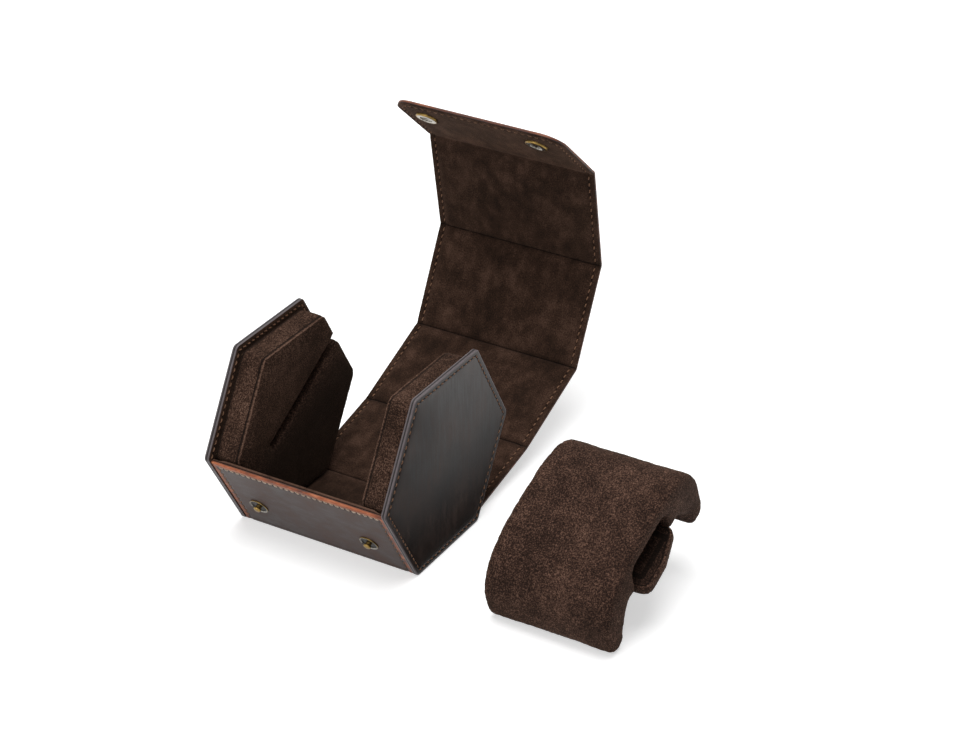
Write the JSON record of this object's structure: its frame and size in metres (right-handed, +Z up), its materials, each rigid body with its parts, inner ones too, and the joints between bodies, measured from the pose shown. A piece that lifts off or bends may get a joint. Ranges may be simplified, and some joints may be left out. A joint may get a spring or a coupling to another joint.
{
  "type": "watch travel case",
  "caption": "Hexagonal leather travel case for a watch, open, with a folding lid, press studs, suede side blocks and a removable arched cushion.",
  "frame": {"origin": "middle of the underside of the base", "axes": "+X across the case to its right end panel, +Y to the back where the lid is hinged, +Z up"},
  "size_m": [0.1725, 0.168, 0.1358],
  "materials": {
    "wrap_leather": "satin",
    "panel_leather": "satin",
    "suede_lining": "matte",
    "block_suede": "matte",
    "stiffening_board": "matte",
    "block_core": "matte",
    "antique_brass": "satin",
    "spring_wire": "satin",
    "cushion_suede": "matte"
  },
  "bodies": {
    "case": {"base_leather": "wrap_leather", "base_board": "stiffening_board", "base_lining": "suede_lining", "front_wall_leather": "wrap_leather", "front_wall_board": "stiffening_board", "front_wall_lining": "suede_lining", "end_panel_leather_left": "panel_leather", "end_panel_leather_right": "panel_leather", "end_panel_board_left": "stiffening_board", "end_panel_board_right": "stiffening_board", "end_panel_lining_left": "suede_lining", "end_panel_lining_right": "suede_lining", "side_block_board_left": "block_core", "side_block_board_right": "block_core", "side_block_upper_left": "block_core", "side_block_upper_right": "block_core", "side_block_lower_left": "block_core", "side_block_lower_right": "block_core", "side_block_stop_left": "block_core", "side_block_stop_right": "block_core", "side_block_cover_left": "block_suede", "side_block_cover_right": "block_suede", "stud_flanges": "antique_brass", "stud_posts": "antique_brass", "stud_backs": "antique_brass"},
    "lid_back_lower": {"lid_back_lower_leather": "wrap_leather", "lid_back_lower_board": "stiffening_board", "lid_back_lower_lining": "suede_lining"},
    "lid_back_upper": {"lid_back_upper_leather": "wrap_leather", "lid_back_upper_board": "stiffening_board", "lid_back_upper_lining": "suede_lining"},
    "lid_top": {"lid_top_leather": "wrap_leather", "lid_top_board": "stiffening_board", "lid_top_lining": "suede_lining"},
    "lid_front": {"lid_front_leather": "wrap_leather", "lid_front_board": "stiffening_board", "lid_front_lining": "suede_lining"},
    "flap": {"flap_leather": "wrap_leather", "flap_lining": "suede_lining", "snap_caps": "antique_brass", "snap_sockets": "antique_brass", "socket_springs": "spring_wire"},
    "cushion": {"cushion_pad": "cushion_suede", "cushion_tongue": "cushion_suede", "cushion_tongue_board": "stiffening_board"}
  },
  "joints": [
    {"name": "lid_fold", "type": "hinge", "parent": "case", "child": "lid_back_lower", "pos_m": [0, 0.02165, 0.0006], "axis": [1, 0, 0], "range_deg": [-10, 48]},
    {"name": "back_crease", "type": "hinge", "parent": "lid_back_lower", "child": "lid_back_upper", "pos_m": [0, 0.06401, 0.0096], "axis": [1, 0, 0], "range_deg": [-10.43, 50.01]},
    {"name": "top_crease", "type": "hinge", "parent": "lid_back_upper", "child": "lid_top", "pos_m": [0, 0.10417, 0.02583], "axis": [1, 0, 0], "range_deg": [-3.97, 19.01]},
    {"name": "front_crease", "type": "hinge", "parent": "lid_top", "child": "lid_front", "pos_m": [0, 0.12383, 0.06441], "axis": [1, 0, 0], "range_deg": [-4.8, 23.01]},
    {"name": "flap_fold", "type": "hinge", "parent": "lid_front", "child": "flap", "pos_m": [0, 0.116, 0.10884], "axis": [1, 0, 0], "range_deg": [-38, 17.5]},
    {"name": "cushion_lift", "type": "slide", "parent": "case", "child": "cushion", "axis": [0, 0, 1], "range_m": [0, 0.12]}
  ],
  "couplings": [
    {"joint": "back_crease", "follows": "lid_fold", "ratio": 1.0417},
    {"joint": "top_crease", "follows": "lid_fold", "ratio": 0.39583},
    {"joint": "front_crease", "follows": "lid_fold", "ratio": 0.47917}
  ]
}
